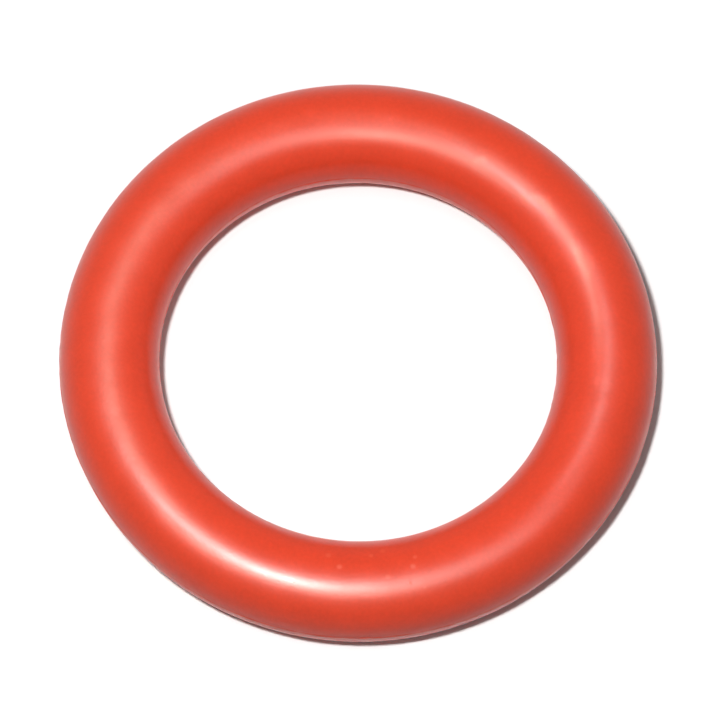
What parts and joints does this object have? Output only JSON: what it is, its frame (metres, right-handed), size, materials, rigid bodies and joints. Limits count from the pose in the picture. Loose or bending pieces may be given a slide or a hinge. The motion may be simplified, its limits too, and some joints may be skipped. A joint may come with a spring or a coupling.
{
  "type": "silicone o-ring",
  "caption": "Moulded silicone O-ring seal: a solid round section in a closed ring, with a fine trimmed parting line round the bore and the rim.",
  "frame": {"origin": "centre of the ring, on its axis and in the mould's parting plane, halfway up the round section", "axes": "+Z along the ring's axis, up from the surface that it lies on; X and Y lie in the ring's plane, and the ring is the same all round, so they point any way"},
  "size_m": [0.03, 0.03, 0.005],
  "materials": {
    "silicone": "satin"
  },
  "bodies": {
    "root": {"o_ring": "silicone"}
  },
  "joints": []
}
